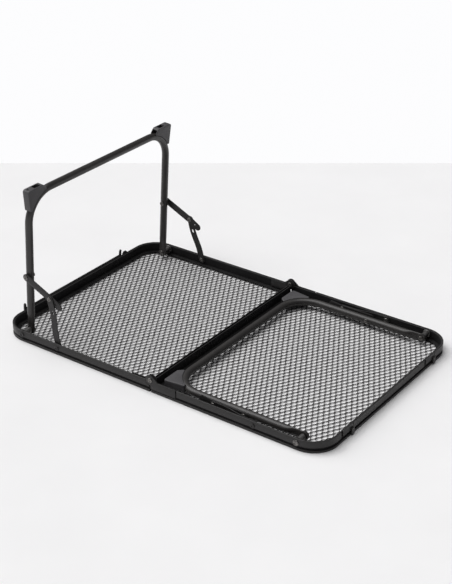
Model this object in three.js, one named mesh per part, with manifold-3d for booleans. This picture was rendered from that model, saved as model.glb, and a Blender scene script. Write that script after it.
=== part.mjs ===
// Folding side table: a mesh top in two halves that close like a case, with a U-shaped leg frame folding
// into each half. The table lies upside down, with its top on z = 0. Half A is at -X with its leg frame
// raised, and half B is at +X with its leg frame folded into it. Millimetres, +Z up, origin at the middle
// of the top's outer face. "Near" pieces are at -Y and "far" pieces are their mirror images at +Y.
import * as THREE from 'three';
import { mergeVertices } from 'three/addons/utils/BufferGeometryUtils.js';
import Module from 'manifold-3d';

const wasm = await Module();
wasm.setup();

// ---- driving dimensions ----
const LENGTH = 600;
const WIDTH = 380;
const CORNER = 41;
const GAP = 0.3;                 // between pieces that touch
const SEAM = 1.5;                // from the middle to each half's cut end

// rim section: a lip, a groove and a tall band, with a ledge inside that carries the mesh
const RIM_HEIGHT = 19.2;
const RIM_DEPTH = 4;
const BAND_BOTTOM = 8;
const LIP_TOP = 3.4;
const GROOVE_DEPTH = 2.6;
const LEDGE_DEPTH = 10;
const LEDGE = [2.9, 4.1];
const MESH = [1.1, 2.6];

// seam rails
const RAIL_WALL = [1.3, 2.9];
const RAIL_TOP = 18.9;
const RAIL_HALF = 182.2;

// seam hinge
const HINGE_Z = 20;
const EAR = 8.5;
const PLATE = 1.6;
const PLATE_B_LENGTH = 47;
const PLATE_B_GAP = 1.8;         // between plate B's end and the rim's outer skin
const PLATE_A_LENGTH = 38;
const PLATE_BOTTOM = 5.5;
const SHOULDER = 14;             // where plate B's sloping shoulder meets the rim's top
const PIN = 2.3;

// leg frames
const LEG_PIVOT = { x: 257, z: 12 };
const LEG_Y = 168;
const TUBE = 6;
const LEG_HEIGHT = 233;          // from the pivot to the crossbar's axis
const BEND = 47;
const RAISED = THREE.MathUtils.degToRad(86.6);   // leg A's angle above its folded place
const FLAT_HALF = 2.2;           // half the thickness of the flattened ends
const FLAT_WIDTH = 7;
const FLAT_LENGTH = 12;
const TAPER_LENGTH = 20;

// stays: an upper arm from the leg and a lower arm from the rim, meeting at an elbow
const STAY_ON_LEG = 97;
const STAY_ON_RIM = 73;
const UPPER_ARM = 53;
const LOWER_ARM = 77;
const TAIL = 25.5;               // from the elbow to the upper arm's free end, turned down a little
const TAIL_TURN = THREE.MathUtils.degToRad(6);
const ARM_HALF = 6;
const UPPER_Y = [176, 177.5];
const LOWER_Y = [177.9, 179.4];
const LOWER_ROOT_Y = [184.2, 185.7];
const JOGGLE = [14, 60];
const SNAP_HOLE = 21.8;          // from the elbow, in the lower arm
const RIVET = 2;
const RIVET_HEAD = 4;
const PIVOT_HEAD = 4.9;
const SPACER = 4.6;
const SPACER_FLANGE = 6.5;

// foot caps, in the leg frame's own plane
const CAP_TOP = 244.5;
const CAP_SIDE = 173.6;          // the outer face, at the top and at the bottom
const CAP_SIDE_LOW = 169.8;
const CAP_CORNER = 4;
const CAP_INNER = 140;           // the inner end, at the top and where it meets the tube
const CAP_INNER_LOW = 133.5;
const CAP_BOTTOM = 209;
const CAP_EDGE = 50.3;           // radius of the edge that follows the bend
const CAP_HALF = 6.2;
const CAP_SKIN = 2.2;
const CAP_WALL = 1.4;
const CAP_WINDOW = [145, 158];

// closing hooks on half A's end and sliding catches on half B's end
const HOOK_Y = [-134, 105];
const HOOK_TOP = 29;
const HOOK_BAR = [9, 20.4];
const CATCH_LENGTH = 27;
const CATCH_TRAVEL = 5;
const CATCH_THICK = 1.6;
const TAB_WIDTH = 7;
const END_REACH = 2.4;           // how far end fittings stand outside the rim

const BLACK_STEEL = { color: 0x1d1c1e, roughness: 0.45, metalness: 0.35 };
const MESH_STEEL = { color: 0x3a3839, roughness: 0.5, metalness: 0.35 };
const CAP_PLASTIC = { color: 0x3c3b3d, roughness: 0.6, metalness: 0 };
const RIVET_STEEL = { color: 0x8d8b88, roughness: 0.35, metalness: 0.9 };

const table = new THREE.Group();

// ---- solids ----
function solid(geometry) {
  const bare = geometry.clone();
  bare.deleteAttribute('normal');
  bare.deleteAttribute('uv');
  const merged = mergeVertices(bare, 1e-4);
  return new wasm.Manifold(new wasm.Mesh({
    numProp: 3,
    vertProperties: new Float32Array(merged.attributes.position.array),
    triVerts: new Uint32Array(merged.index.array),
  }));
}

function add(name, body, look, group = table) {
  const mesh = body.getMesh();
  const geometry = new THREE.BufferGeometry();
  geometry.setAttribute('position', new THREE.BufferAttribute(mesh.vertProperties, 3));
  geometry.setIndex(new THREE.BufferAttribute(mesh.triVerts, 1));
  geometry.computeVertexNormals();
  const piece = new THREE.Mesh(geometry, new THREE.MeshStandardMaterial(look));
  piece.name = name;
  group.add(piece);
}

function box(x, y, z) {
  const geometry = new THREE.BoxGeometry(x[1] - x[0], y[1] - y[0], z[1] - z[0]);
  geometry.translate((x[0] + x[1]) / 2, (y[0] + y[1]) / 2, (z[0] + z[1]) / 2);
  return solid(geometry);
}

function extrude(shape, depth, arcSteps) {
  return new THREE.ExtrudeGeometry(shape, { depth, bevelEnabled: false, curveSegments: arcSteps });
}

// a flat piece drawn in X and Y, between two heights
function slab(shape, z, arcSteps = 8) {
  const geometry = extrude(shape, z[1] - z[0], arcSteps);
  geometry.translate(0, 0, z[0]);
  return solid(geometry);
}

// a flat piece drawn in X and Z, between two distances along Y
function sidePlate(shape, y, arcSteps = 8) {
  const geometry = extrude(shape, y[1] - y[0], arcSteps);
  geometry.rotateX(Math.PI / 2);
  geometry.translate(0, y[1], 0);
  return solid(geometry);
}

// a flat piece drawn in Y and Z, between two distances along X
function endPlate(shape, x, arcSteps = 8) {
  const geometry = extrude(shape, x[1] - x[0], arcSteps);
  geometry.applyMatrix4(new THREE.Matrix4().makeBasis(
    new THREE.Vector3(0, 1, 0), new THREE.Vector3(0, 0, 1), new THREE.Vector3(1, 0, 0)));
  geometry.translate(x[0], 0, 0);
  return solid(geometry);
}

// a round bar along Y through (x, z), between two distances along Y
function crossPin(radius, y, x = 0, z = 0, sides = 16) {
  const geometry = new THREE.CylinderGeometry(radius, radius, y[1] - y[0], sides);
  geometry.translate(x, (y[0] + y[1]) / 2, z);
  return solid(geometry);
}

function polygon(points) {
  return new THREE.Shape(points.map(([u, v]) => new THREE.Vector2(u, v)));
}

// distances from the middle, as an interval on the near (-1) or far (+1) side
function on(side, interval) {
  return side > 0 ? [interval[0], interval[1]] : [-interval[1], -interval[0]];
}

// a rivet along Y: a shank with a domed head at each end that has one
function rivet(side, shank, radius, outerHead, innerHead, at) {
  const [inner, outer] = shank;
  const profile = [];
  const dome = (start, head, direction) => [
    [head.radius, start],
    [head.radius, start + direction * head.height * 0.4],
    [head.radius * 0.72, start + direction * head.height * 0.85],
    [head.radius * 0.3, start + direction * head.height],
    [0, start + direction * head.height],
  ];
  if (innerHead) {
    profile.push(...dome(inner, innerHead, -1).reverse());
  } else {
    profile.push([0, inner]);
  }
  profile.push([radius, inner], [radius, outer]);
  if (outerHead) {
    profile.push(...dome(outer, outerHead, 1));
  } else {
    profile.push([0, outer]);
  }
  const geometry = new THREE.LatheGeometry(profile.map(([r, y]) => new THREE.Vector2(r, y)), 16);
  if (side < 0) {
    geometry.rotateX(Math.PI);
  }
  geometry.translate(at.x, 0, at.z);
  return solid(geometry);
}

// ---- rims, rails and mesh panels ----
// a half's outline, drawn inset from the rim's outer face, from the seam round the end and back
function halfOutline(end, inset, seamX) {
  const x = LENGTH / 2 - inset;
  const y = WIDTH / 2 - inset;
  const radius = CORNER - inset;
  const shape = new THREE.Shape();
  shape.moveTo(end * seamX, -y);
  shape.lineTo(end * (x - radius), -y);
  if (end > 0) {
    shape.absarc(x - radius, -y + radius, radius, -Math.PI / 2, 0, false);
    shape.absarc(x - radius, y - radius, radius, 0, Math.PI / 2, false);
  } else {
    shape.absarc(-x + radius, -y + radius, radius, -Math.PI / 2, -Math.PI, true);
    shape.absarc(-x + radius, y - radius, radius, Math.PI, Math.PI / 2, true);
  }
  shape.lineTo(end * seamX, y);
  return shape;
}

// a U-shaped strip round a half, between two insets and two heights
function strip(end, insets, z) {
  const outer = slab(halfOutline(end, insets[0], SEAM), z, 10);
  const inner = slab(halfOutline(end, insets[1], SEAM - 1), [z[0] - 1, z[1] + 1], 10);
  return outer.subtract(inner);
}

function rim(end) {
  let body = strip(end, [0, RIM_DEPTH], [BAND_BOTTOM, RIM_HEIGHT])
    .add(strip(end, [GROOVE_DEPTH, RIM_DEPTH], [0, RIM_HEIGHT]))
    .add(strip(end, [0, RIM_DEPTH], [0, LIP_TOP]))
    .add(strip(end, [GROOVE_DEPTH, LEDGE_DEPTH], LEDGE));
  for (const side of [-1, 1]) {
    const pocket = on(side, [WIDTH / 2 - PLATE - GAP, WIDTH / 2 + 1]);
    body = body.subtract(crossPin(EAR + 0.6, pocket, 0, HINGE_Z, 32));
    body = body.subtract(crossPin(PIN + 1, on(side, [WIDTH / 2 - 12, WIDTH / 2 + 1]), 0, HINGE_Z));
    if (end > 0) {
      const reach = [0, PLATE_B_LENGTH + PLATE_B_GAP];
      body = body.subtract(box(reach, pocket, [PLATE_BOTTOM - GAP, RIM_HEIGHT + 1]));
    }
    for (const x of [LEG_PIVOT.x, LEG_PIVOT.x - STAY_ON_RIM]) {
      const through = on(side, [WIDTH / 2 - 12, WIDTH / 2 + 1]);
      body = body.subtract(crossPin(RIVET + GAP, through, end * x, LEG_PIVOT.z));
    }
  }
  return body;
}

function catchPocket(y) {
  const x = [LENGTH / 2 - CATCH_THICK - 2 * GAP, LENGTH / 2 + 1];
  return box(x, [y - CATCH_TRAVEL - GAP, y + CATCH_LENGTH + GAP], [BAND_BOTTOM - 1, RIM_HEIGHT + 1]);
}

const CATCH_Y = HOOK_Y.map((y) => y - 1);
add('rim_a', rim(-1), BLACK_STEEL);
add('rim_b', CATCH_Y.reduce((body, y) => body.subtract(catchPocket(y)), rim(1)), BLACK_STEEL);

function seamRail(end) {
  const wall = end > 0 ? RAIL_WALL : [-RAIL_WALL[1], -RAIL_WALL[0]];
  const foot = end > 0 ? [RAIL_WALL[0], LEDGE_DEPTH] : [-LEDGE_DEPTH, -RAIL_WALL[0]];
  const short = WIDTH / 2 - LEDGE_DEPTH - GAP;
  return box(wall, [-short, short], [0, RAIL_TOP])
    .add(box(wall, [-RAIL_HALF, RAIL_HALF], [LEDGE[1] + GAP, RAIL_TOP]))
    .add(box(foot, [-short, short], LEDGE));
}

for (const [letter, end] of [['a', -1], ['b', 1]]) {
  add(`cross_rail_${letter}`, seamRail(end), BLACK_STEEL);
  const panel = slab(halfOutline(end, RIM_DEPTH + GAP, RAIL_WALL[1] + GAP), MESH, 8);
  add(`mesh_panel_${letter}`, panel, MESH_STEEL);
}

// ---- seam hinge ----
function hingePlateB(y) {
  const shape = new THREE.Shape();
  shape.moveTo(0.5, PLATE_BOTTOM);
  shape.lineTo(PLATE_B_LENGTH, PLATE_BOTTOM);
  shape.lineTo(PLATE_B_LENGTH, RIM_HEIGHT);
  shape.lineTo(SHOULDER, RIM_HEIGHT);
  shape.lineTo(EAR * 0.8, HINGE_Z + EAR * 0.6);
  shape.lineTo(0.5, HINGE_Z);
  return sidePlate(shape, y).add(crossPin(EAR, y, 0, HINGE_Z, 32));
}

function hingePlateA(y) {
  const shape = polygon([
    [-PLATE_A_LENGTH, PLATE_BOTTOM], [-EAR, PLATE_BOTTOM], [-0.5, HINGE_Z - EAR + 1],
    [-0.5, HINGE_Z], [-EAR * 0.8, HINGE_Z + EAR * 0.6], [-SHOULDER, RIM_HEIGHT], [-PLATE_A_LENGTH, RIM_HEIGHT]]);
  return sidePlate(shape, y).add(crossPin(EAR, y, 0, HINGE_Z, 32));
}

const sides = [['near', -1], ['far', 1]];
for (const [name, side] of sides) {
  const outside = WIDTH / 2;
  const inside = outside - RIM_DEPTH - GAP;
  const bore = crossPin(PIN + GAP, on(side, [inside - 4, outside + 2]), 0, HINGE_Z);
  add(`hinge_plate_b_${name}`, hingePlateB(on(side, [outside - PLATE, outside])).subtract(bore), BLACK_STEEL);
  add(`hinge_plate_a_${name}`, hingePlateA(on(side, [inside - PLATE, inside])).subtract(bore), BLACK_STEEL);
  const shank = [inside - PLATE - GAP, outside + GAP];
  const head = { radius: RIVET_HEAD, height: 1.1 };
  add(`hinge_pin_${name}`, rivet(side, shank, PIN, head, head, { x: 0, z: HINGE_Z }), RIVET_STEEL);
}

// ---- leg frames ----
// a route given by stations, each with its own direction, so that a bend is sampled where it needs to be
class Stations extends THREE.Curve {
  constructor(stations) {
    super();
    this.stations = stations;
  }

  getPoint(t, target = new THREE.Vector3()) {
    return target.copy(this.at(t).point);
  }

  getPointAt(u, target) {
    return this.getPoint(u, target);
  }

  getTangentAt(u, target = new THREE.Vector3()) {
    return target.copy(this.at(u).direction);
  }

  at(t) {
    return this.stations[Math.round(t * (this.stations.length - 1))];
  }
}

function station(y, z, dy, dz) {
  return { point: new THREE.Vector3(0, y, z), direction: new THREE.Vector3(0, dy, dz) };
}

// the U in its own plane: up one leg, round a bend, along the crossbar, and down the other leg
function frameRoute(legHeights, bendSteps) {
  const stations = legHeights.map((z) => station(-LEG_Y, z, 0, 1));
  for (let i = 0; i <= bendSteps; i += 1) {
    const a = (i / bendSteps) * Math.PI / 2;
    const y = -LEG_Y + BEND * (1 - Math.cos(a));
    const z = LEG_HEIGHT - BEND * (1 - Math.sin(a));
    stations.push(station(y, z, Math.sin(a), Math.cos(a)));
  }
  const back = stations.map((s) => station(-s.point.y, s.point.z, s.direction.y, -s.direction.z));
  return stations.concat(back.reverse());
}

function tube(stations, radius, arcSteps) {
  const round = new THREE.Shape();
  round.absarc(0, 0, radius, 0, 2 * Math.PI, false);
  return new THREE.ExtrudeGeometry(round, {
    steps: stations.length - 1,
    extrudePath: new Stations(stations),
    curveSegments: arcSteps,
    bevelEnabled: false,
  });
}

// presses the tube's ends flat, easing into the round tube over the taper
function flattenEnds(geometry) {
  const position = geometry.attributes.position;
  for (let i = 0; i < position.count; i += 1) {
    const along = (position.getZ(i) - FLAT_LENGTH) / TAPER_LENGTH;
    const press = 1 - THREE.MathUtils.smoothstep(along, 0, 1);
    const y = position.getY(i);
    const axis = Math.sign(y) * LEG_Y;
    position.setX(i, position.getX(i) * (1 + press * (FLAT_WIDTH / TUBE - 1)));
    position.setY(i, axis + (y - axis) * (1 - press * (1 - FLAT_HALF / TUBE)));
  }
  return geometry;
}

function legFrame() {
  const heights = [0, FLAT_LENGTH, 17, 22, 27, FLAT_LENGTH + TAPER_LENGTH];
  let body = solid(flattenEnds(tube(frameRoute(heights, 9), TUBE, 8)));
  for (const [, side] of sides) {
    const flat = on(side, [LEG_Y - FLAT_HALF, LEG_Y + FLAT_HALF]);
    body = body.add(crossPin(FLAT_WIDTH, flat, 0, 0, 24));
    body = body.subtract(crossPin(PIN + GAP, on(side, [LEG_Y - 9, LEG_Y + 9])));
    body = body.subtract(crossPin(RIVET + GAP, on(side, [LEG_Y - 9, LEG_Y + 9]), 0, STAY_ON_LEG));
  }
  return body;
}

// a hollow wedge riding on the outer half of a bend, open at its inner end, with a window in its ground face
function footCap(side) {
  const centre = { y: LEG_Y - BEND, z: LEG_HEIGHT - BEND };
  const low = Math.asin((CAP_BOTTOM - centre.z) / CAP_EDGE);
  const high = Math.acos((CAP_INNER_LOW - centre.y) / CAP_EDGE);
  const outline = new THREE.Shape();
  outline.absarc(centre.y, centre.z, CAP_EDGE, high, low, true);
  outline.lineTo(CAP_SIDE_LOW, CAP_BOTTOM);
  outline.lineTo(CAP_SIDE, CAP_TOP - CAP_CORNER);
  outline.absarc(CAP_SIDE - CAP_CORNER, CAP_TOP - CAP_CORNER, CAP_CORNER, 0, Math.PI / 2, false);
  outline.lineTo(CAP_INNER, CAP_TOP);
  outline.lineTo(CAP_INNER_LOW, LEG_HEIGHT + TUBE - 1.5);
  const hollow = CAP_HALF - CAP_WALL;
  const skin = CAP_TOP - CAP_SKIN;
  const inside = [CAP_INNER_LOW - 2, CAP_WINDOW[1] + 2];
  const cap = endPlate(outline, [-CAP_HALF, CAP_HALF], 6)
    .subtract(solid(tube(frameRoute([150], 9), TUBE + GAP, 8)))
    .subtract(box([-hollow, hollow], inside, [CAP_BOTTOM, skin]))
    .subtract(box([-hollow + 0.8, hollow - 0.8], CAP_WINDOW, [skin - 1, CAP_TOP + 1]));
  return side > 0 ? cap : cap.mirror([0, 1, 0]);
}

// each leg frame's group turns about its pivot: leg A stands raised, leg B lies folded towards the seam
const legs = [
  { letter: 'a', end: -1, angle: RAISED },
  { letter: 'b', end: 1, angle: 0 },
];

for (const leg of legs) {
  const lean = leg.end < 0 ? Math.PI / 2 - leg.angle : leg.angle - Math.PI / 2;
  const group = new THREE.Group();
  group.position.set(leg.end * LEG_PIVOT.x, 0, LEG_PIVOT.z);
  group.rotation.y = lean;
  table.add(group);
  add(`leg_frame_${leg.letter}`, legFrame(), BLACK_STEEL, group);
  for (const [name, side] of sides) {
    add(`foot_cap_${leg.letter}_${name}`, footCap(side), CAP_PLASTIC, group);
    const shank = [LEG_Y - TUBE - GAP, UPPER_Y[1] + GAP];
    const head = { radius: RIVET_HEAD, height: 1.1 };
    const body = rivet(side, shank, RIVET, head, head, { x: 0, z: STAY_ON_LEG });
    add(`leg_rivet_${leg.letter}_${name}`, body, RIVET_STEEL, group);
  }
}

// ---- pivot spacers and the rivets through the rims ----
// a flanged sleeve that holds a leg's flat end away from the rim's band
function pivotSpacer(end, side) {
  const inner = LEG_Y + FLAT_HALF + GAP;
  const outer = WIDTH / 2 - RIM_DEPTH - 2 * GAP;
  const x = end * LEG_PIVOT.x;
  return crossPin(SPACER, on(side, [inner, outer]), x, LEG_PIVOT.z, 24)
    .add(crossPin(SPACER_FLANGE, on(side, [outer - PLATE, outer]), x, LEG_PIVOT.z, 24))
    .subtract(crossPin(RIVET + GAP, on(side, [inner - 1, outer + 1]), x, LEG_PIVOT.z));
}

for (const [letter, end] of [['a', -1], ['b', 1]]) {
  for (const [name, side] of sides) {
    add(`pivot_spacer_${letter}_${name}`, pivotSpacer(end, side), RIVET_STEEL);
    const head = { radius: RIVET_HEAD, height: 1 };
    const broad = { radius: PIVOT_HEAD, height: 1 };
    const pivot = { x: end * LEG_PIVOT.x, z: LEG_PIVOT.z };
    const pivotShank = [LEG_Y - FLAT_HALF - GAP, WIDTH / 2 + GAP];
    add(`pivot_pin_${letter}_${name}`, rivet(side, pivotShank, RIVET, broad, head, pivot), RIVET_STEEL);
    const foot = { x: end * (LEG_PIVOT.x - STAY_ON_RIM), z: LEG_PIVOT.z };
    const footShank = [LOWER_ROOT_Y[0] - GAP, WIDTH / 2 + GAP];
    add(`rim_rivet_${letter}_${name}`, rivet(side, footShank, RIVET, head, head, foot), RIVET_STEEL);
  }
}

// ---- stays ----
// where the joints of a stay lie for a leg angle: distances from the leg pivot, towards the seam and up
function stayPoints(angle) {
  const onLeg = new THREE.Vector2(Math.cos(angle), Math.sin(angle)).multiplyScalar(STAY_ON_LEG);
  const onRim = new THREE.Vector2(STAY_ON_RIM, 0);
  const span = onLeg.clone().sub(onRim);
  const reach = span.length();
  const cosine = (LOWER_ARM ** 2 + reach ** 2 - UPPER_ARM ** 2) / (2 * LOWER_ARM * reach);
  const lowerAngle = span.angle() - Math.acos(Math.min(1, cosine));
  const elbow = onRim.clone().add(
    new THREE.Vector2(Math.cos(lowerAngle), Math.sin(lowerAngle)).multiplyScalar(LOWER_ARM));
  return { onLeg, onRim, lowerAngle, upperAngle: elbow.sub(onLeg).angle() };
}

// a strip with round ends, from -ARM_HALF to length + ARM_HALF
function armOutline(length) {
  const shape = new THREE.Shape();
  shape.absarc(length, 0, ARM_HALF, -Math.PI / 2, Math.PI / 2, false);
  shape.absarc(0, 0, ARM_HALF, Math.PI / 2, 3 * Math.PI / 2, false);
  return shape;
}

function upperArm(side) {
  const y = on(side, UPPER_Y);
  const tail = armOutline(TAIL - ARM_HALF).extractPoints(8).shape
    .map((p) => p.rotateAround(new THREE.Vector2(), -TAIL_TURN))
    .map((p) => [p.x + UPPER_ARM, p.y]);
  return sidePlate(armOutline(UPPER_ARM), y)
    .add(sidePlate(polygon(tail), y))
    .subtract(crossPin(RIVET + GAP, y))
    .subtract(crossPin(RIVET + GAP, y, UPPER_ARM));
}

function lowerArm(side) {
  const far = LOWER_ARM + ARM_HALF + 1;
  const bent = polygon([
    [-ARM_HALF - 1, side * LOWER_ROOT_Y[0]], [JOGGLE[0], side * LOWER_ROOT_Y[0]],
    [JOGGLE[1], side * LOWER_Y[0]], [far, side * LOWER_Y[0]],
    [far, side * LOWER_Y[1]], [JOGGLE[1], side * LOWER_Y[1]],
    [JOGGLE[0], side * LOWER_ROOT_Y[1]], [-ARM_HALF - 1, side * LOWER_ROOT_Y[1]]]);
  const through = on(side, [LOWER_Y[0] - 1, LOWER_ROOT_Y[1] + 1]);
  return slab(bent, [-ARM_HALF - 1, ARM_HALF + 1])
    .intersect(sidePlate(armOutline(LOWER_ARM), through))
    .subtract(crossPin(RIVET + GAP, through))
    .subtract(crossPin(RIVET + GAP, through, LOWER_ARM))
    .subtract(crossPin(RIVET, through, LOWER_ARM - SNAP_HOLE));
}

// an arm's group has its X axis along the arm; half B's arms are turned to point towards -X
function armGroup(end, point, angle) {
  const group = new THREE.Group();
  group.position.set(end * (LEG_PIVOT.x - point.x), 0, LEG_PIVOT.z + point.y);
  group.rotation.y = end < 0 ? -angle : Math.PI + angle;
  table.add(group);
  return group;
}

for (const leg of legs) {
  const points = stayPoints(leg.angle);
  for (const [name, side] of sides) {
    const upper = armGroup(leg.end, points.onLeg, points.upperAngle);
    add(`upper_arm_${leg.letter}_${name}`, upperArm(side), BLACK_STEEL, upper);
    const head = { radius: RIVET_HEAD, height: 1.1 };
    const elbow = { x: UPPER_ARM, z: 0 };
    const innerShank = [UPPER_Y[0] - GAP, UPPER_Y[1]];
    add(`elbow_rivet_inner_${leg.letter}_${name}`,
      rivet(side, innerShank, RIVET, null, head, elbow), RIVET_STEEL, upper);
    const lower = armGroup(leg.end, points.onRim, points.lowerAngle);
    add(`lower_arm_${leg.letter}_${name}`, lowerArm(side), BLACK_STEEL, lower);
    const outerShank = [LOWER_Y[0], LOWER_Y[1] + GAP];
    add(`elbow_rivet_outer_${leg.letter}_${name}`,
      rivet(side, outerShank, RIVET, head, null, { x: LOWER_ARM, z: 0 }), RIVET_STEEL, lower);
  }
}

// ---- closing hooks and catches ----
function hookBar() {
  const [low, high] = HOOK_BAR;
  const first = HOOK_Y[0];
  const last = HOOK_Y[1];
  const outline = polygon([
    [first - 3, low], [last + 20, low], [last + 20, 17], [last + 15, 22], [last + 9, 22], [last + 6, high - 4],
    [last + 2.5, high - 3], [last + 3.4, HOOK_TOP - 1], [last + 2, HOOK_TOP], [last, HOOK_TOP],
    [last - 1.2, HOOK_TOP - 2], [last - 2.5, high], [first + 2.5, high], [first + 1.8, HOOK_TOP - 2],
    [first + 0.8, HOOK_TOP], [first - 1.4, HOOK_TOP], [first - 2.6, HOOK_TOP - 1.5], [first - 3, high]]);
  return endPlate(outline, [-LENGTH / 2 - END_REACH, -LENGTH / 2 - GAP]);
}

add('hook_bar', hookBar(), BLACK_STEEL);

// a flat slide in the band, with a thumb tab that comes out over the groove
function slidingCatch(y) {
  const back = LENGTH / 2 - CATCH_THICK - GAP;
  const slide = box([back, back + CATCH_THICK], [y, y + CATCH_LENGTH], [BAND_BOTTOM + 0.5, RIM_HEIGHT - 0.7]);
  const tabY = [y + CATCH_LENGTH - TAB_WIDTH, y + CATCH_LENGTH];
  const neck = box([back, LENGTH / 2 + END_REACH], tabY, [10, 12]);
  const tab = box([LENGTH / 2 + GAP, LENGTH / 2 + END_REACH], tabY, [1.5, 12]);
  return slide.add(neck).add(tab);
}

for (const [i, name] of ['near', 'far'].entries()) {
  add(`catch_${name}`, slidingCatch(CATCH_Y[i]), BLACK_STEEL);
}

export default table;
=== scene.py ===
"""Looks of the folding side table: detailed pieces, materials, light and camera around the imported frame.

Lengths below are millimetres and become metres when a piece is made. "end" is -1 for half A and +1 for
half B; "side" is -1 for the near side and +1 for the far side.
"""
import math

import bmesh
import bpy
import numpy as np
from mathutils import Matrix, Vector


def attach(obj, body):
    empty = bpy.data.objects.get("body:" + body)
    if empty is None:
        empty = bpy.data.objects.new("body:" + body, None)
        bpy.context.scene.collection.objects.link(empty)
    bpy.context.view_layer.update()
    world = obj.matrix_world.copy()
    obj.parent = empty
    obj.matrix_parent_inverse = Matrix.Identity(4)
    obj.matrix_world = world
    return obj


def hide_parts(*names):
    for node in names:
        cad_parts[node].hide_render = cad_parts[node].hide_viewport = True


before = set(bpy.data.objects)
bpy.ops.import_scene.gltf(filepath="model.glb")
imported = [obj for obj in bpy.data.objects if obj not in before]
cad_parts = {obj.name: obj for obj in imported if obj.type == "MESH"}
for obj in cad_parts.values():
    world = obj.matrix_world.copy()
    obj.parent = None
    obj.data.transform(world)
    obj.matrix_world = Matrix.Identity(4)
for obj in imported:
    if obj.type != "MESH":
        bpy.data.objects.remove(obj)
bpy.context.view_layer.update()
MM = 0.001

# ---- dimensions shared with the solids ----
LENGTH, WIDTH, CORNER, SEAM = 600, 380, 41, 1.5
RIM_HEIGHT, RIM_DEPTH = 19.2, 4
HINGE_Z, EAR = 20, 8.5
PIVOT_X, PIVOT_Z, LEG_Y = 257, 12, 168
TUBE, LEG_HEIGHT, BEND, FLAT_HALF = 6, 233, 47, 2.2
RAISED = math.radians(86.6)
STAY_ON_LEG, STAY_ON_RIM, UPPER_ARM, LOWER_ARM, TAIL, ARM_HALF = 97, 73, 53, 77, 25.5, 6
TAIL_TURN = math.radians(6)
HOOK_Y = (-134, 105)
SIDES = (("near", -1), ("far", 1))
ENDS = (("a", -1), ("b", 1))


# ---- materials ----
def new_material(name):
    material = bpy.data.materials.new(name)
    material.use_nodes = True
    nodes = material.node_tree.nodes
    return material, nodes, material.node_tree.links, nodes["Principled BSDF"]


def noise(nodes, links, coords, scale, detail=3.0, roughness=0.55):
    node = nodes.new("ShaderNodeTexNoise")
    node.inputs["Scale"].default_value = scale
    node.inputs["Detail"].default_value = detail
    node.inputs["Roughness"].default_value = roughness
    links.new(coords.outputs["Object"], node.inputs["Vector"])
    return node.outputs["Fac"]


def ramp(nodes, links, value, low, high, start=0.3, stop=0.7):
    """Maps a value between start and stop to two numbers or two colours."""
    node = nodes.new("ShaderNodeValToRGB")
    node.color_ramp.elements[0].position = start
    node.color_ramp.elements[1].position = stop
    for element, colour in zip(node.color_ramp.elements, (low, high)):
        element.color = (*colour, 1) if isinstance(colour, tuple) else (colour, colour, colour, 1)
    links.new(value, node.inputs["Fac"])
    return node.outputs["Color"]


def coated(name, dark, light, rough, grain=2600, depth=0.05, specular=0.5):
    """A coat on steel: colour drifts between two tones, gloss varies, and a fine grain shows up close."""
    material, nodes, links, shader = new_material(name)
    coords = nodes.new("ShaderNodeTexCoord")
    broad = noise(nodes, links, coords, 28, 4)
    fine = noise(nodes, links, coords, grain, 2)
    colour = ramp(nodes, links, broad, dark, light)
    links.new(colour, shader.inputs["Base Color"])
    links.new(ramp(nodes, links, broad, rough[0], rough[1]), shader.inputs["Roughness"])
    bump = nodes.new("ShaderNodeBump")
    bump.inputs["Strength"].default_value = depth
    bump.inputs["Distance"].default_value = 0.0002
    links.new(fine, bump.inputs["Height"])
    links.new(bump.outputs["Normal"], shader.inputs["Normal"])
    shader.inputs["Specular IOR Level"].default_value = specular
    return material


def metal(name, dark, light, rough):
    """Bare or plated steel: patches of tone and gloss, with fine scratches."""
    material, nodes, links, shader = new_material(name)
    coords = nodes.new("ShaderNodeTexCoord")
    patches = noise(nodes, links, coords, 420, 4)
    links.new(ramp(nodes, links, patches, dark, light), shader.inputs["Base Color"])
    links.new(ramp(nodes, links, patches, *rough), shader.inputs["Roughness"])
    scratches = noise(nodes, links, coords, 3000, 2)
    bump = nodes.new("ShaderNodeBump")
    bump.inputs["Strength"].default_value = 0.08
    bump.inputs["Distance"].default_value = 0.0002
    links.new(scratches, bump.inputs["Height"])
    links.new(bump.outputs["Normal"], shader.inputs["Normal"])
    shader.inputs["Metallic"].default_value = 1.0
    return material


COAT = coated("black_coat", (0.017, 0.016, 0.016), (0.026, 0.0245, 0.0245), (0.36, 0.5), specular=0.35)
# A darker, duller copy of the black coat: painted shade for the inner faces and grooves of the rims and seam
# rails, which lie in shadow.
COAT_PAINTED_SHADE = coated("black_coat_painted_shade", (0.008, 0.0076, 0.008), (0.014, 0.0135, 0.014), (0.55, 0.7),
                     specular=0.18)
COAT_TUBE = coated("black_coat_tube", (0.022, 0.02, 0.0195), (0.034, 0.0315, 0.03), (0.32, 0.42))
# The same black coat as the rims, made lighter: painted light standing in for the overhead light on the mesh
# strands.
COAT_MESH_PAINTED_LIGHT = coated("black_coat_mesh_painted_light", (0.04, 0.0375, 0.037), (0.056, 0.053, 0.052), (0.42, 0.55))
PLASTIC = coated("grey_plastic", (0.052, 0.05, 0.053), (0.07, 0.067, 0.071), (0.5, 0.62), grain=1500,
                 depth=0.16)
RIVET = metal("rivet_steel", (0.07, 0.067, 0.064), (0.26, 0.25, 0.24), (0.45, 0.25))
ZINC = metal("zinc_plate", (0.13, 0.127, 0.124), (0.24, 0.235, 0.23), (0.55, 0.4))


# ---- mesh helpers ----
def turned(points, angle, place):
    """Points turned about Y by an angle and moved to a place."""
    points = np.asarray(points, float)
    c, s = math.cos(angle), math.sin(angle)
    turned_points = points.copy()
    turned_points[:, 0] = points[:, 0] * c + points[:, 2] * s
    turned_points[:, 2] = -points[:, 0] * s + points[:, 2] * c
    return turned_points + np.asarray(place, float)


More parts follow.
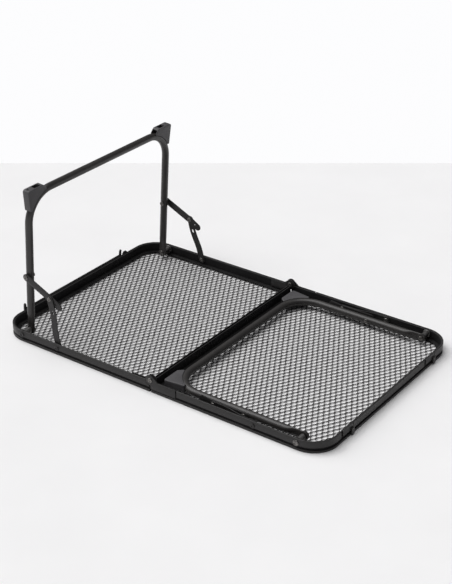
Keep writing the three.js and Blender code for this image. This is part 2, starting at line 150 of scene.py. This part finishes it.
def make(name, points, faces, material, pose=None):
    """An object from points in millimetres, with its faces turned outwards."""
    points = np.asarray(points, float)
    if pose is not None:
        points = turned(points, *pose)
    mesh = bpy.data.meshes.new(name)
    mesh.from_pydata((points * MM).tolist(), [], faces)
    bm = bmesh.new()
    bm.from_mesh(mesh)
    bmesh.ops.recalc_face_normals(bm, faces=bm.faces)
    bm.to_mesh(mesh)
    bm.free()
    obj = bpy.data.objects.new(name, mesh)
    bpy.context.scene.collection.objects.link(obj)
    for entry in (material if isinstance(material, (list, tuple)) else [material]):
        mesh.materials.append(entry)
    return obj


def freeze(obj):
    """Applies an object's modifiers to its mesh."""
    graph = bpy.context.evaluated_depsgraph_get()
    mesh = bpy.data.meshes.new_from_object(obj.evaluated_get(graph))
    obj.modifiers.clear()
    obj.data = mesh
    return obj


def bevel(obj, width, segments=2, angle=35):
    modifier = obj.modifiers.new("edges", "BEVEL")
    modifier.width = width * MM
    modifier.segments = segments
    modifier.limit_method = "ANGLE"
    modifier.angle_limit = math.radians(angle)
    modifier.use_clamp_overlap = True
    return freeze(obj)


def split_faces(obj):
    """Splits many-sided faces into triangles."""
    bm = bmesh.new()
    bm.from_mesh(obj.data)
    bmesh.ops.triangulate(bm, faces=[f for f in bm.faces if len(f.verts) > 4], ngon_method="EAR_CLIP")
    bm.to_mesh(obj.data)
    bm.free()


def cut(obj, cutters):
    for cutter in cutters:
        modifier = obj.modifiers.new("cut", "BOOLEAN")
        modifier.operation = "DIFFERENCE"
        modifier.solver = "MANIFOLD"
        modifier.object = cutter
    freeze(obj)
    for cutter in cutters:
        bpy.data.objects.remove(cutter, do_unlink=True)
    return obj


def join(obj, other):
    """Adds another closed piece to this one."""
    modifier = obj.modifiers.new("join", "BOOLEAN")
    modifier.operation = "UNION"
    modifier.solver = "MANIFOLD"
    modifier.object = other
    freeze(obj)
    bpy.data.objects.remove(other, do_unlink=True)


def place(obj, pose):
    """Turns a piece about Y by an angle and moves it to a place, both in pose."""
    obj.data.transform(Matrix.Translation(Vector(pose[1]) * MM) @ Matrix.Rotation(pose[0], 4, "Y"))


def smooth(obj, angle=35):
    obj.data.shade_smooth()
    obj.data.set_sharp_from_angle(angle=math.radians(angle))


def fit(obj, body, nodes, angle=35):
    """Rides the piece on its body, in place of the solids it stands for."""
    smooth(obj, angle)
    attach(obj, body)
    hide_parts(*nodes)
    return obj


def arc(centre, radius, start, stop, steps):
    return [(centre[0] + radius * math.cos(a), centre[1] + radius * math.sin(a))
            for a in np.radians(np.linspace(start, stop, steps + 1))]


def rounded(corners, steps=3):
    """A closed outline of (u, v, radius) corners, each rounded with that radius."""
    outline = []
    for i, (u, v, radius) in enumerate(corners):
        here = np.array((u, v), float)
        back = np.array(corners[i - 1][:2], float) - here
        on = np.array(corners[(i + 1) % len(corners)][:2], float) - here
        if radius <= 0:
            outline.append(tuple(here))
            continue
        back /= np.linalg.norm(back)
        on /= np.linalg.norm(on)
        half = math.acos(np.clip(back @ on, -1, 1)) / 2
        start, stop = here + back * radius / math.tan(half), here + on * radius / math.tan(half)
        centre = here + (back + on) / np.linalg.norm(back + on) * radius / math.sin(half)
        for t in np.linspace(0, 1, steps + 1):
            ray = (start - centre) * (1 - t) + (stop - centre) * t
            outline.append(tuple(centre + ray / np.linalg.norm(ray) * radius))
    return outline


def loft(rings, closed_ends=True):
    """Faces joining rings of equal length, with an end cap at each end."""
    count = len(rings[0])
    points = np.concatenate([np.asarray(ring, float) for ring in rings])
    faces = []
    for i in range(len(rings) - 1):
        for j in range(count):
            k = (j + 1) % count
            faces.append((i * count + j, i * count + k, (i + 1) * count + k, (i + 1) * count + j))
    if closed_ends:
        faces.append(tuple(reversed(range(count))))
        faces.append(tuple(range((len(rings) - 1) * count, len(rings) * count)))
    return points, faces


def plate(name, outline, plane, span, material, pose=None, edge=0.25):
    """A flat piece with its outline across plane ("xz", "yz" or "xy") and its span along the other axis."""
    order = {"xz": (0, 2, 1), "yz": (1, 2, 0), "xy": (0, 1, 2)}[plane]
    rings = []
    for depth in span:
        ring = np.zeros((len(outline), 3))
        ring[:, order[0]] = [p[0] for p in outline]
        ring[:, order[1]] = [p[1] for p in outline]
        ring[:, order[2]] = depth
        rings.append(ring)
    obj = make(name, *loft(rings), material, pose)
    return bevel(obj, edge) if edge else obj


def block(x, y, z, pose=None):
    corners = [(x[0], y[0]), (x[1], y[0]), (x[1], y[1]), (x[0], y[1])]
    return plate("cutter", corners, "xy", z, COAT, pose, edge=0)


def drill(radius, y, x=0, z=0, pose=None, steps=32):
    circle = arc((x, z), radius, 0, 360 * (1 - 1 / steps), steps - 1)
    return plate("cutter", circle, "xz", y, COAT, pose, edge=0)


def on(side, interval):
    return interval if side > 0 else (-interval[1], -interval[0])


def spun(profile, side, at, pose=None, steps=32):
    """A round piece on an axis along Y, from (radius, y) points that start and end on the axis."""
    x, z = at
    points = [(x, side * profile[0][1], z)]
    for radius, y in profile[1:-1]:
        points += [(x + radius * math.cos(a), side * y, z + radius * math.sin(a))
                   for a in np.linspace(0, 2 * math.pi, steps, endpoint=False)]
    points.append((x, side * profile[-1][1], z))
    faces = []
    for j in range(steps):
        k = (j + 1) % steps
        faces.append((0, 1 + j, 1 + k))
        for i in range(len(profile) - 3):
            a, b = 1 + i * steps, 1 + (i + 1) * steps
            faces.append((a + j, b + j, b + k, a + k))
        last = 1 + (len(profile) - 3) * steps
        faces.append((len(points) - 1, last + k, last + j))
    return points, faces


def head(start, out, radius=3.9, height=1.1):
    """The outline of a rolled rivet head with a dimple, from its rim at start to its middle."""
    shape = ((1, 0), (1, 0.35), (0.93, 0.72), (0.74, 1), (0.55, 1), (0.4, 0.72), (0.3, 0.4), (0.12, 0.34),
             (0, 0.34))
    return [(radius * u, start + out * height * v) for u, v in shape]


def rivet(name, side, shank, radius, outer, inner, at, body, node, pose=None, painted=False):
    """A rivet along Y, with a rolled head of a given radius at each end that has one. A painted one is black
    outside the rim."""
    profile = list(reversed(head(shank[0], -1, inner))) if inner else [(0, shank[0])]
    profile += [(radius, shank[0]), (radius, shank[1])]
    profile += head(shank[1], 1, outer) if outer else [(0, shank[1])]
    obj = make(name, *spun(profile, side, at), [RIVET, COAT] if painted else RIVET, pose)
    if painted:
        for polygon in obj.data.polygons:
            if abs(polygon.center.y) > (WIDTH / 2 - 2) * MM:
                polygon.material_index = 1
    return fit(obj, body, [node], angle=50)


# ---- rims ----
def half_path(end, start=SEAM):
    """The rim's outer line as (x, y, nx, ny), from the near seam round the end to the far seam."""
    path = []
    cx, cy = LENGTH / 2 - CORNER, WIDTH / 2 - CORNER
    for x in np.linspace(start, cx, 12)[:-1]:
        path.append((end * x, -WIDTH / 2, 0, -1))
    for a in np.radians(np.linspace(-90, 0, 19)):
        nx, ny = end * math.cos(a), math.sin(a)
        path.append((end * cx + CORNER * nx, -cy + CORNER * ny, nx, ny))
    for y in np.linspace(-cy, cy, 14)[1:-1]:
        path.append((end * LENGTH / 2, y, end, 0))
    for a in np.radians(np.linspace(0, 90, 19)):
        nx, ny = end * math.cos(a), math.sin(a)
        path.append((end * cx + CORNER * nx, cy + CORNER * ny, nx, ny))
    for x in np.linspace(cx, start, 12)[1:]:
        path.append((end * x, WIDTH / 2, 0, 1))
    return path


RIM_SECTION = rounded([
    (4.0, 0.0, 0.3), (0.0, 0.0, 0.9), (0.0, 3.6, 1.1), (2.7, 3.9, 0.4), (2.7, 7.6, 0.4), (0.0, 8.0, 1.1),
    (0.0, 19.2, 0.9), (1.5, 19.2, 0.3), (1.5, 17.9, 0.2), (4.0, 17.9, 0.5), (4.0, 4.1, 0.4),
    (10.0, 4.1, 0.3), (10.0, 2.9, 0.3), (4.0, 2.9, 0.3)])


def rim(letter, end):
    rings = [[(x - nx * d, y - ny * d, z) for d, z in RIM_SECTION] for x, y, nx, ny in half_path(end)]
    obj = make(f"rim_{letter}", *loft(rings), [COAT, COAT_PAINTED_SHADE])
    cutters = []
    for _, side in SIDES:
        pocket = on(side, (WIDTH / 2 - 1.9, WIDTH / 2 + 1))
        cutters.append(drill(EAR + 0.6, pocket, 0, HINGE_Z, steps=48))
        cutters.append(drill(3.3, on(side, (WIDTH / 2 - 12, WIDTH / 2 + 2)), 0, HINGE_Z))
        if end > 0:
            cutters.append(block((-1, 48.8), pocket, (5.2, 21)))
        for x in (PIVOT_X, PIVOT_X - STAY_ON_RIM):
            cutters.append(drill(2.3, on(side, (WIDTH / 2 - 12, WIDTH / 2 + 2)), end * x, PIVOT_Z))
    if end > 0:
        for y in HOOK_Y:
            cutters.append(block((LENGTH / 2 - 2.2, LENGTH / 2 + 1), (y - 6.3, y + 26.3), (7, 21)))
    else:
        cutters.append(block((-255.4, -254.9), (-WIDTH / 2 - 1, -WIDTH / 2 + 0.6), (7.5, 20)))
    cut(obj, cutters)
    # Painted shade: faces inside the rim and the back of the groove in the outer band get the darker copy of
    # the coat.
    for polygon in obj.data.polygons:
        x, y, z = np.array(polygon.center) / MM
        reach = abs(x) - (LENGTH / 2 - CORNER), abs(y) - (WIDTH / 2 - CORNER)
        if reach[0] > 0 and reach[1] > 0:
            inset = CORNER - math.hypot(*reach)
        else:
            inset = min(LENGTH / 2 - abs(x), WIDTH / 2 - abs(y))
        if inset > 3.2 or (inset > 2.2 and 3.9 < z < 7.6):
            polygon.material_index = 1
    return fit(obj, f"half_{letter}", [f"rim_{letter}"])


for letter, end in ENDS:
    rim(letter, end)


# ---- seam rails ----
def seam_rail(letter, end):
    wall, foot = (1.3, 2.9), 10
    section = rounded([
        (wall[0], 0, 0.2), (wall[1], 0, 0.2), (wall[1], 2.9, 0), (foot, 2.9, 0.3), (foot, 4.1, 0.3),
        (wall[1], 4.1, 0.5), (wall[1], 18.9, 0.5), (wall[0], 18.9, 0.5)])
    rings = [[(end * u, y, v) for u, v in section] for y in np.linspace(-182.2, 182.2, 15)]
    obj = make(f"cross_rail_{letter}", *loft(rings), [COAT, COAT_PAINTED_SHADE])
    cut(obj, [block((-12, 12), on(side, (179.7, 184)), (-1, 4.4)) for _, side in SIDES])
    # Painted shade: the rail's faces below its top edge, down in the gap between the halves, get the darker
    # copy of the coat.
    for polygon in obj.data.polygons:
        if polygon.center.z / MM < 17.6:
            polygon.material_index = 1
    return fit(obj, f"half_{letter}", [f"cross_rail_{letter}"])


for letter, end in ENDS:
    seam_rail(letter, end)

# ---- expanded metal ----
PITCH_X, PITCH_Y = 4.6, 15.9     # between strands across the table, and along one strand
STRAND, SHEET = 1.25, 0.9        # a strand's width and the sheet's thickness
TILT = math.radians(10)
SKEW = math.radians(-22)         # a strand's width leans this far from the table's length
MIDDLE_Z = 1.5


def panel_reach(x):
    """Half the panel's width along Y at a distance x from the seam."""
    inset = RIM_DEPTH + 0.6
    past = abs(x) - (LENGTH / 2 - CORNER)
    if past <= 0:
        return WIDTH / 2 - inset
    radius = CORNER - inset
    return WIDTH / 2 - CORNER + math.sqrt(max(0.0, radius * radius - past * past))


def expanded_metal(letter, end):
    """Zigzag strands that join their neighbours at every bond, each strand turned a little on edge."""
    section = ((-1, -1), (1, -1), (1, 1), (-1, 1))
    across = STRAND * math.cos(TILT)
    swing = (PITCH_X - across) / 2
    rise = STRAND * math.sin(TILT) / 2
    # places along one pitch of a strand, and how far it has swung there
    beat = ((-1.25, 1), (1.25, 1), (2.9, 0.6), (5.05, -0.6), (6.7, -1), (9.2, -1), (10.85, -0.6), (13.0, 0.6))
    points, faces = [], []
    count = int((LENGTH / 2 - RIM_DEPTH - 1.2 - 3.4) // PITCH_X)
    for k in range(count):
        middle = 3.4 + PITCH_X * (k + 0.5)
        sway = 1 if k % 2 else -1
        reach = min(panel_reach(middle - swing), panel_reach(middle + swing)) - 0.3
        first = int(-reach // PITCH_Y) - 1
        stations = [(n * PITCH_Y + dy, s) for n in range(first, -first + 2) for dy, s in beat]
        inside = [(y, s) for y, s in stations if -reach < y < reach]
        inside = [(-reach, inside[0][1])] + inside + [(reach, inside[-1][1])]
        start = len(points)
        for y, s in inside:
            x = middle + swing * sway * s
            z = MIDDLE_Z - end * rise * sway * s
            for u, v in section:
                du = u * STRAND / 2
                dv = v * SHEET / 2
                along = du * math.cos(TILT) - dv * math.sin(TILT)
                points.append((end * x + along * math.cos(SKEW), y + along * math.sin(SKEW),
                               z + du * math.sin(TILT) + dv * math.cos(TILT)))
        for i in range(len(inside) - 1):
            for j in range(4):
                a, b = start + 4 * i + j, start + 4 * i + (j + 1) % 4
                faces.append((a, b, b + 4, a + 4))
        last = start + 4 * (len(inside) - 1)
        faces.append((start + 3, start + 2, start + 1, start))
        faces.append((last, last + 1, last + 2, last + 3))
    obj = make(f"mesh_{letter}", points, faces, COAT_MESH_PAINTED_LIGHT)
    return fit(obj, f"half_{letter}", [f"mesh_panel_{letter}"], angle=30)


for letter, end in ENDS:
    expanded_metal(letter, end)


# ---- seam hinge ----
def hinge_outline(end, length, shoulder):
    """An ear round the hinge pin, with a strap along the rim."""
    low, top = 5.5, RIM_HEIGHT
    lean = math.degrees(math.asin(min(1, (HINGE_Z - top) / math.hypot(shoulder, HINGE_Z - top))))
    tangent = 90 - lean - math.degrees(math.acos(EAR / math.hypot(shoulder, HINGE_Z - top)))
    outline = [(shoulder, top), (length, top), (length, low)]
    outline += [(9, low), (5.5, 10.2)] if end < 0 else [(1, low), (0.5, HINGE_Z - EAR + 0.05)]
    ear = arc((0, HINGE_Z), EAR, 270 if end > 0 else 305, 90 - 0.5 * tangent, 30)
    return [(end * x, z) for x, z in outline + ear]


def hinge_plates(name, side):
    outer = on(side, (WIDTH / 2 - 1.6, WIDTH / 2))
    inner = on(side, (WIDTH / 2 - 5.9, WIDTH / 2 - 4.3))
    for letter, end, span, length in (("b", 1, outer, 47), ("a", -1, inner, 38)):
        shape = hinge_outline(end, length, 14)
        obj = plate(f"hinge_plate_{letter}_{name}", shape, "xz", span, COAT, edge=0.25)
        split_faces(obj)
        cut(obj, [drill(2.6, on(side, (WIDTH / 2 - 9, WIDTH / 2 + 2)), 0, HINGE_Z)])
        fit(obj, f"half_{letter}", [f"hinge_plate_{letter}_{name}"])
    span = (WIDTH / 2 - 6.2, WIDTH / 2 + 0.3)
    rivet(f"hinge_pin_{name}", side, span, 2.3, 3.9, 3.9, (0, HINGE_Z), "half_a", f"hinge_pin_{name}")


for name, side in SIDES:
    hinge_plates(name, side)


# ---- leg frames ----
def leg_pose(end):
    if end < 0:
        return math.pi / 2 - RAISED, (-PIVOT_X, 0, PIVOT_Z)
    return -math.pi / 2, (PIVOT_X, 0, PIVOT_Z)


def frame_route(heights, steps=14):
    """The U-shaped tube's centre line in its own plane, as (y, z, dy, dz)."""
    route = [(-LEG_Y, z, 0, 1) for z in heights]
    for i in range(steps + 1):
        a = math.pi / 2 * i / steps
        route.append((-LEG_Y + BEND * (1 - math.cos(a)), LEG_HEIGHT - BEND * (1 - math.sin(a)), math.sin(a),
                      math.cos(a)))
    far = [(-y, z, dy, -dz) for y, z, dy, dz in reversed(route)]
    middle = [(y, LEG_HEIGHT, 1, 0) for y in np.linspace(-LEG_Y + BEND, LEG_Y - BEND, 9)[1:-1]]
    return route + middle + far


def tube_rings(route, radius, sides=32):
    rings = []
    for y, z, dy, dz in route:
        ring = []
        for a in np.linspace(0, 2 * math.pi, sides, endpoint=False):
            u, v = radius * math.cos(a), radius * math.sin(a)
            ring.append((u, y + v * dz, z - v * dy))
        rings.append(ring)
    return rings


def flattened(points):
    """Presses the tube's lower ends flat, easing from the round tube."""
    for point in points:
        press = 1 - np.clip((point[2] - 12) / 20, 0, 1)
        press = press * press * (3 - 2 * press)
        axis = math.copysign(LEG_Y, point[1])
        point[0] *= 1 + press / 6
        point[1] = axis + (point[1] - axis) * (1 - press * (1 - FLAT_HALF / TUBE))
    return points


def leg_frame(letter, end):
    heights = [0, 6, 12, 14.5, 17, 19.5, 22, 24.5, 27, 29.5, 32, 60, 96, 140, 170]
    points, faces = loft(tube_rings(frame_route(heights), TUBE))
    points = flattened(points)
    obj = make(f"leg_frame_{letter}", points, faces, COAT_TUBE, leg_pose(end))
    for _, side in SIDES:
        outline = arc((0, 0), 7, 0, 360 - 360 / 40, 39)
        span = on(side, (LEG_Y - FLAT_HALF, LEG_Y + FLAT_HALF))
        join(obj, plate("tip", outline, "xz", span, COAT_TUBE, leg_pose(end), edge=0))
    through = [drill(2.6 if z == 0 else 2.3, on(side, (LEG_Y - 9, LEG_Y + 9)), 0, z, leg_pose(end))
               for _, side in SIDES for z in (0, STAY_ON_LEG)]
    cut(obj, through)
    return fit(obj, f"leg_{letter}", [f"leg_frame_{letter}"], angle=40)


def foot_cap(letter, end, name, side):
    """A hollow wedge on the outer half of a bend, open at its inner end, with a window in its ground face."""
    cy, cz, edge = LEG_Y - BEND, LEG_HEIGHT - BEND, 50.3
    outline = arc((cy, cz), edge, 75.6, 27.2, 14)
    outline += [(169.8, 209), (173.6, 240.5)] + arc((169.6, 240.5), 4, 12, 78, 6) + [(169.6, 244.5)]
    outline += [(141.5, 244.5), (140.2, 244.2), (139.4, 243.5), (133.5, 237.2)]
    outline = [(side * y, z) for y, z in outline]
    obj = plate(f"foot_cap_{letter}_{name}", outline, "yz", (-6.2, 6.2), PLASTIC, edge=0)
    bevel(obj, 1.0, segments=3, angle=50)
    channel = make("channel", *loft(tube_rings(frame_route([150]), TUBE + 0.15)), PLASTIC)
    cavity = block((-4.8, 4.8), on(side, (131, 160)), (209, 242.3))
    window = block((-4, 4), on(side, (145, 158)), (241, 246))
    dimple = block((-1.6, 2.4), on(side, (167.5, 171)), (243.3, 246))
    cut(obj, [channel, cavity, window, dimple])
    place(obj, leg_pose(end))
    return fit(obj, f"leg_{letter}", [f"foot_cap_{letter}_{name}"])


for letter, end in ENDS:
    leg_frame(letter, end)
    for name, side in SIDES:
        foot_cap(letter, end, name, side)
        rivet(f"leg_rivet_{letter}_{name}", side, (LEG_Y - TUBE - 0.3, 177.8), 2, 3.9, 3.9, (0, STAY_ON_LEG),
              f"leg_{letter}", f"leg_rivet_{letter}_{name}", leg_pose(end))


# ---- pivot spacers and the rivets through the rims ----
def pivot_spacer(letter, end, name, side):
    """A flanged sleeve between a leg's flat end and the band."""
    inner, outer = 170.5, 185.4
    profile = [(0, inner), (4.0, inner), (4.6, inner + 0.6), (4.6, outer - 1.8), (5.0, outer - 1.6),
               (6.0, outer - 1.6), (6.5, outer - 1.1), (6.5, outer), (0, outer)]
    at = (end * PIVOT_X, PIVOT_Z)
    obj = make(f"pivot_spacer_{letter}_{name}", *spun(profile, side, at, steps=48), ZINC)
    cut(obj, [drill(2.3, on(side, (inner - 2, outer + 2)), *at)])
    return fit(obj, f"half_{letter}", [f"pivot_spacer_{letter}_{name}"])


for letter, end in ENDS:
    for name, side in SIDES:
        pivot_spacer(letter, end, name, side)
        rivet(f"pivot_pin_{letter}_{name}", side, (LEG_Y - 2.5, WIDTH / 2 + 0.3), 2, 4.8, 3.9,
              (end * PIVOT_X, PIVOT_Z), f"half_{letter}", f"pivot_pin_{letter}_{name}", painted=end < 0)
        rivet(f"rim_rivet_{letter}_{name}", side, (183.9, WIDTH / 2 + 0.3), 2, 3.9, 3.9,
              (end * (PIVOT_X - STAY_ON_RIM), PIVOT_Z), f"half_{letter}", f"rim_rivet_{letter}_{name}",
              painted=True)


# ---- stays ----
def stay_points(angle):
    """Where a stay's joints lie for a leg angle: (towards the seam, up) from the leg's pivot."""
    on_leg = np.array((math.cos(angle), math.sin(angle))) * STAY_ON_LEG
    on_rim = np.array((STAY_ON_RIM, 0.0))
    span = on_leg - on_rim
    reach = np.linalg.norm(span)
    cosine = (LOWER_ARM ** 2 + reach ** 2 - UPPER_ARM ** 2) / (2 * LOWER_ARM * reach)
    lower = math.atan2(span[1], span[0]) - math.acos(min(1, cosine))
    elbow = on_rim + LOWER_ARM * np.array((math.cos(lower), math.sin(lower)))
    upper = math.atan2(*reversed(elbow - on_leg))
    return on_leg, on_rim, lower, upper


def arm_pose(end, point, angle):
    turn = -angle if end < 0 else math.pi + angle
    return turn, (end * (PIVOT_X - point[0]), 0, PIVOT_Z + point[1])


def upper_arm(letter, end, name, side, pose):
    span = on(side, (176, 177.5))
    c, s = math.cos(TAIL_TURN), math.sin(TAIL_TURN)
    reach = TAIL - ARM_HALF
    tail = [(UPPER_ARM + x * c + z * s, z * c - x * s) for x, z in arc((reach, 0), ARM_HALF, -90, 90, 14)]
    lean = ARM_HALF * math.tan(TAIL_TURN / 2)
    outline = [(UPPER_ARM - lean, -ARM_HALF)] + tail + [(UPPER_ARM + lean, ARM_HALF)]
    outline += arc((0, 0), ARM_HALF, 90, 270, 14)
    obj = plate(f"upper_arm_{letter}_{name}", outline, "xz", span, COAT)
    cut(obj, [drill(radius, on(side, (174, 180)), x, z) for radius, x, z in
              ((2.3, 0, 0), (2.3, UPPER_ARM, 0), (1.2, UPPER_ARM + 13 * c, -13 * s))])
    place(obj, pose)
    return fit(obj, f"stay_upper_{letter}_{name}", [f"upper_arm_{letter}_{name}"])


def lower_arm(letter, end, name, side, pose):
    """A strip that steps outwards between its elbow end and its rim end."""
    grid_x = np.linspace(-ARM_HALF, LOWER_ARM + ARM_HALF, 61)
    rings = []
    for x in grid_x:
        past = max(-x, x - LOWER_ARM, 0)
        half = math.sqrt(max(0.15, ARM_HALF ** 2 - past ** 2))
        t = np.clip((x - 14) / 46, 0, 1)
        ease = t * t * (3 - 2 * t)
        y = 184.2 * (1 - ease) + 177.9 * ease
        section = ((0.3, -half), (0, -half + 0.3), (0, half - 0.3), (0.3, half), (1.2, half),
                   (1.5, half - 0.3), (1.5, -half + 0.3), (1.2, -half))
        rings.append([(x, side * (y + dy), dz) for dy, dz in section])
    obj = make(f"lower_arm_{letter}_{name}", *loft(rings), COAT)
    reach = on(side, (176, 188))
    slot_x = LOWER_ARM - 21.8
    ends = arc((slot_x + 1.4, 0), 1.8, -90, 90, 10) + arc((slot_x - 1.4, 0), 1.8, 90, 270, 10)
    slot = plate("cutter", ends, "xz", reach, COAT, edge=0)
    cut(obj, [drill(2.3, reach, 0), drill(2.3, reach, LOWER_ARM), slot])
    place(obj, pose)
    return fit(obj, f"stay_lower_{letter}_{name}", [f"lower_arm_{letter}_{name}"])


for letter, end in ENDS:
    on_leg, on_rim, lower, upper = stay_points(RAISED if end < 0 else 0.0)
    upper_pose, lower_pose = arm_pose(end, on_leg, upper), arm_pose(end, on_rim, lower)
    for name, side in SIDES:
        upper_arm(letter, end, name, side, upper_pose)
        lower_arm(letter, end, name, side, lower_pose)
        rivet(f"elbow_inner_{letter}_{name}", side, (175.7, 177.5), 2, None, 3.9, (UPPER_ARM, 0),
              f"stay_upper_{letter}_{name}", f"elbow_rivet_inner_{letter}_{name}", upper_pose)
        rivet(f"elbow_outer_{letter}_{name}", side, (177.9, 179.7), 2, 3.9, None, (LOWER_ARM, 0),
              f"stay_lower_{letter}_{name}", f"elbow_rivet_outer_{letter}_{name}", lower_pose)


# ---- closing hooks and catches ----
def hook_bar():
    first, last = HOOK_Y
    low, high, tip = 9, 20.4, 29
    outline = rounded([
        (first - 3, low, 0.5), (last + 20, low, 0.5), (last + 20, 17, 1), (last + 15, 22, 1.5),
        (last + 9, 22, 1.5), (last + 6, high - 4, 1), (last + 2.5, high - 3, 0.8), (last + 3.4, tip - 1, 0.6),
        (last + 2, tip, 0.7), (last, tip, 0.6), (last - 1.2, tip - 2, 0.8), (last - 2.5, high, 1.5),
        (first + 2.5, high, 1.5), (first + 1.8, tip - 2, 0.8), (first + 0.8, tip, 0.6),
        (first - 1.4, tip, 0.7), (first - 2.6, tip - 1.5, 0.7), (first - 3, high, 1)])
    obj = plate("hook_bar", outline, "yz", (-LENGTH / 2 - 2.4, -LENGTH / 2 - 0.3), COAT, edge=0.3)
    return fit(obj, "half_a", ["hook_bar"])


def catch(name, y):
    back = LENGTH / 2 - 1.9
    y -= 1
    body = rounded([(y, 8.5, 1), (y + 27, 8.5, 1), (y + 27, 18.5, 1), (y, 18.5, 1)])
    slide = plate(f"catch_{name}", body, "yz", (back, back + 1.6), COAT, edge=0)
    thumb = rounded([(y + 20, 1.5, 1.5), (y + 27, 1.5, 1.5), (y + 27, 12, 0.8), (y + 20, 12, 0.8)])
    tab = plate("tab", thumb, "yz", (LENGTH / 2 + 0.3, LENGTH / 2 + 2.4), COAT, edge=0)
    join(slide, block((back + 0.2, LENGTH / 2 + 2.2), (y + 20.2, y + 26.8), (10, 11.8)))
    join(slide, tab)
    bevel(slide, 0.3)
    return fit(slide, f"catch_{name}", [f"catch_{name}"])


hook_bar()
for (name, _), y in zip(SIDES, HOOK_Y):
    catch(name, y)

# ---- floor, light and camera ----
YAW, PITCH = math.radians(-35.795), math.radians(28.073)
FORWARD = Vector((math.sin(YAW) * math.cos(PITCH), math.cos(YAW) * math.cos(PITCH), -math.sin(PITCH)))
EYE = Vector((1.11405, -1.54324, 1.10079))


def floor():
    """A pale floor that ends behind the table, square to the camera."""
    ahead = Vector((FORWARD.x, FORWARD.y, 0)).normalized()
    across = Vector((ahead.y, -ahead.x, 0))
    back = Vector((EYE.x, EYE.y, 0)) + ahead * 2.62
    front = back - ahead * 9
    corners = [back - across * 6, back + across * 6, front + across * 6, front - across * 6]
    mesh = bpy.data.meshes.new("floor")
    mesh.from_pydata([tuple(c) for c in corners], [], [(3, 2, 1, 0)])
    obj = bpy.data.objects.new("floor", mesh)
    bpy.context.scene.collection.objects.link(obj)
    material, nodes, links, shader = new_material("floor_paper")
    coords = nodes.new("ShaderNodeTexCoord")
    grain = noise(nodes, links, coords, 6, 3)
    tone = ramp(nodes, links, grain, (0.86, 0.855, 0.857), (0.885, 0.88, 0.882))
    links.new(tone, shader.inputs["Base Color"])
    shader.inputs["Roughness"].default_value = 0.9
    shader.inputs["Specular IOR Level"].default_value = 0.1
    mesh.materials.append(material)


def sun(name, source, spread, strength):
    """A broad, distant soft light that comes from a direction."""
    data = bpy.data.lights.new(name, "SUN")
    data.angle = math.radians(spread)
    data.energy = strength
    obj = bpy.data.objects.new(name, data)
    obj.rotation_euler = Vector(source).to_track_quat("Z", "Y").to_euler()
    bpy.context.scene.collection.objects.link(obj)


def sky(above, below):
    """A dim surrounding above the floor and a white one below its horizon."""
    world = bpy.data.worlds.new("studio")
    bpy.context.scene.world = world
    world.use_nodes = True
    nodes, links = world.node_tree.nodes, world.node_tree.links
    coords = nodes.new("ShaderNodeTexCoord")
    split = nodes.new("ShaderNodeSeparateXYZ")
    links.new(coords.outputs["Generated"], split.inputs["Vector"])
    tone = ramp(nodes, links, split.outputs["Z"], below, above, 0.0, 0.001)
    links.new(tone, nodes["Background"].inputs["Color"])


def camera():
    data = bpy.data.cameras.new("camera")
    data.sensor_fit = "HORIZONTAL"
    data.sensor_width = 36
    data.lens = 1392.7 / 452 * 36
    data.clip_end = 30
    obj = bpy.data.objects.new("camera", data)
    bpy.context.scene.collection.objects.link(obj)
    obj.location = EYE
    obj.rotation_euler = FORWARD.to_track_quat("-Z", "Y").to_euler()
    bpy.context.scene.camera = obj


floor()
sky((0.16, 0.16, 0.165), (0.98, 0.98, 0.99))
sun("overhead", (-0.3, -0.1, 1), 60, 2.2)
sun("left", (-0.9, -0.2, 0.6), 50, 1.15)
camera()
bpy.context.scene.view_settings.view_transform = "Standard"

bpy.context.view_layer.update()
